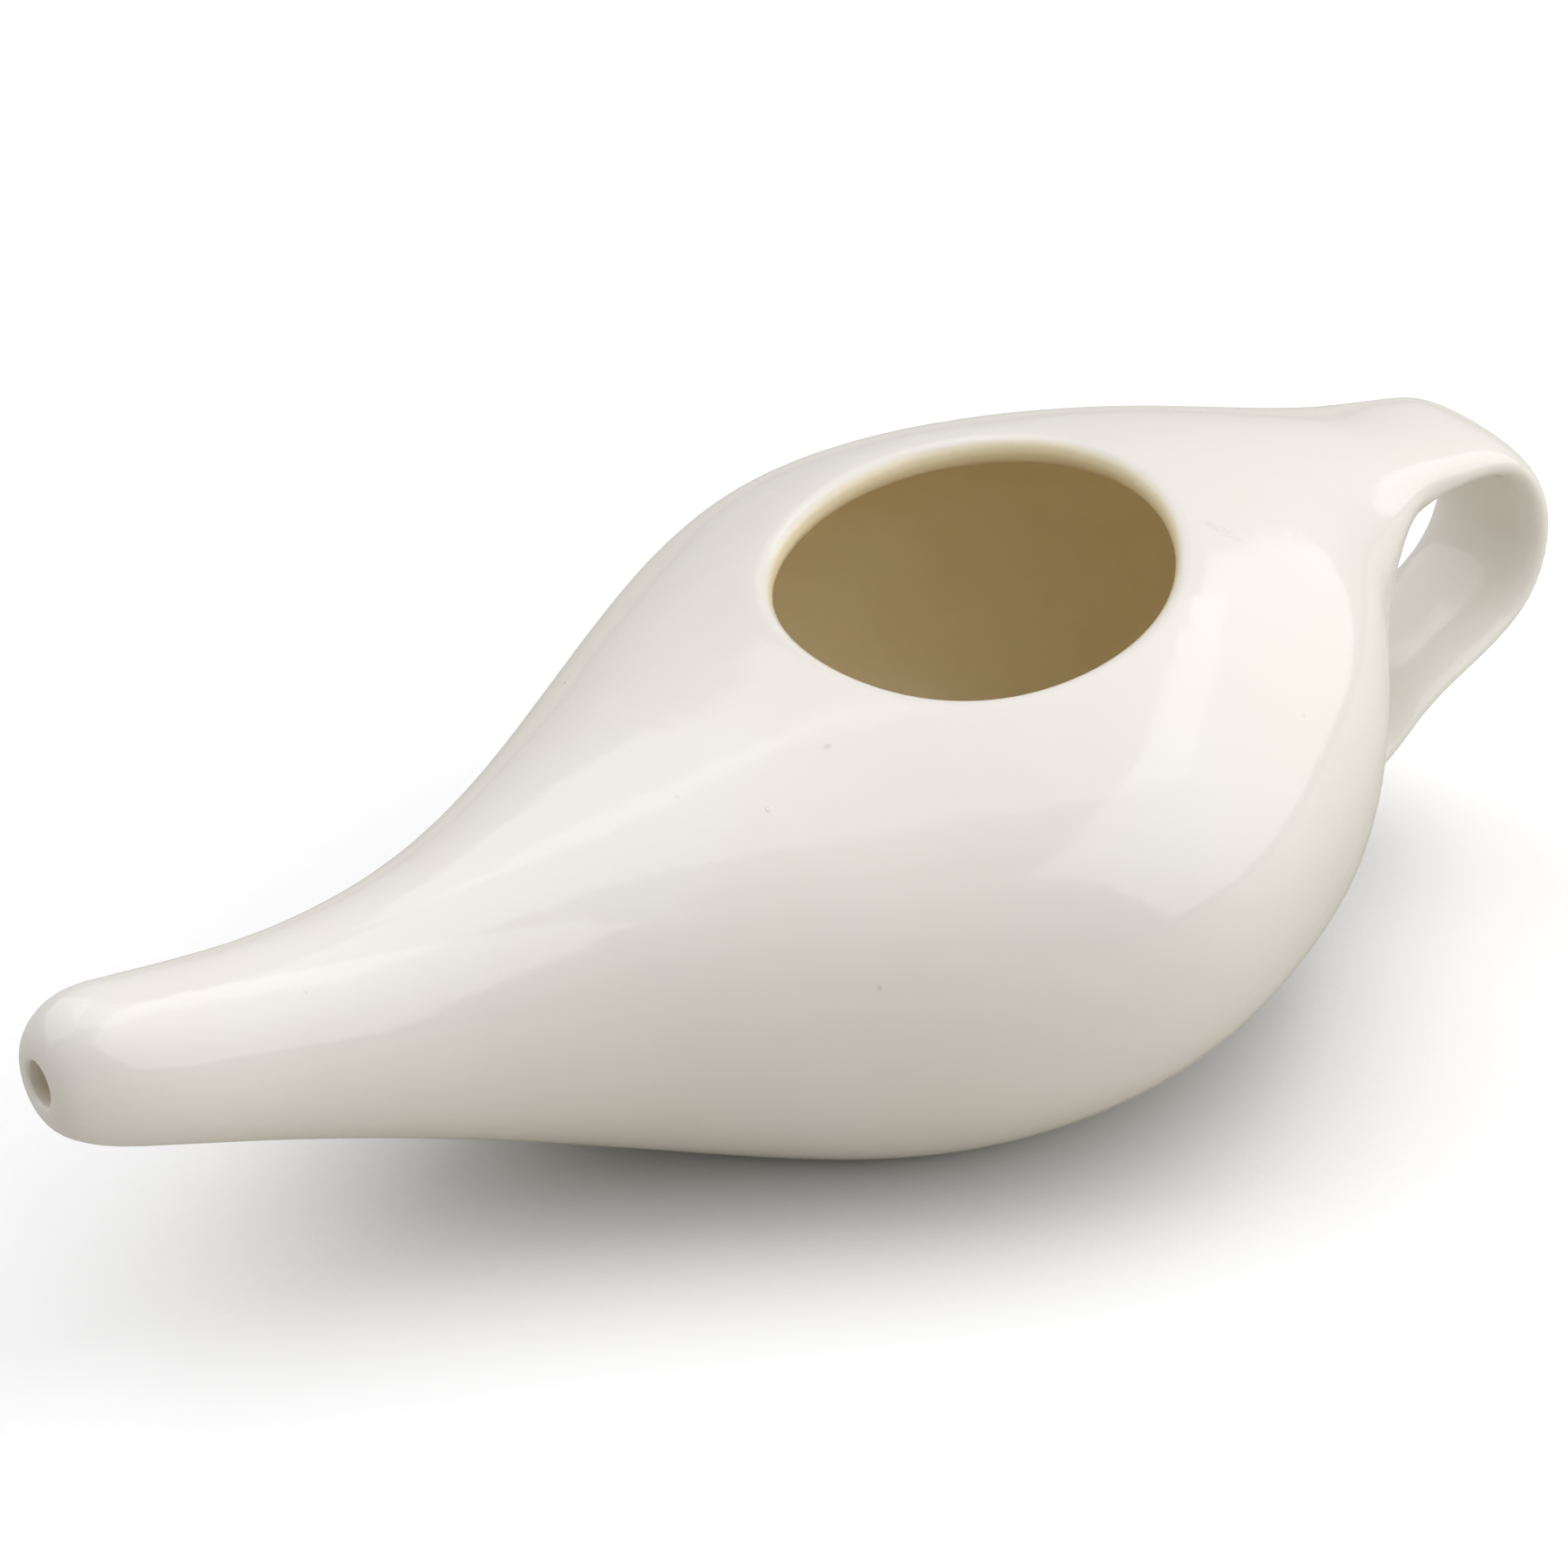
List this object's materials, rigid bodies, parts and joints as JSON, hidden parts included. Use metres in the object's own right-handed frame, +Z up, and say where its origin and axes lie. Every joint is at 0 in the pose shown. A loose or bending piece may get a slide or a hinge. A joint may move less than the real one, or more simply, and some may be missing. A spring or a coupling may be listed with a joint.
{
  "type": "neti pot",
  "caption": "One-piece glazed ceramic nasal rinsing pot: rounded bowl with an oval mouth on top, a long tapering spout with a rounded tip, and a flat strap handle in a closed loop.",
  "frame": {"origin": "on the table, under the middle of the pot's whole length from spout tip to handle, on the pot's middle plane", "axes": "+Z up, square to the flat foot; the spout points to -X and the handle to +X; the pot is symmetric about the XZ plane"},
  "size_m": [0.1918, 0.095, 0.06],
  "materials": {
    "glaze": "gloss"
  },
  "bodies": {
    "root": {"pot": "glaze"}
  },
  "joints": []
}
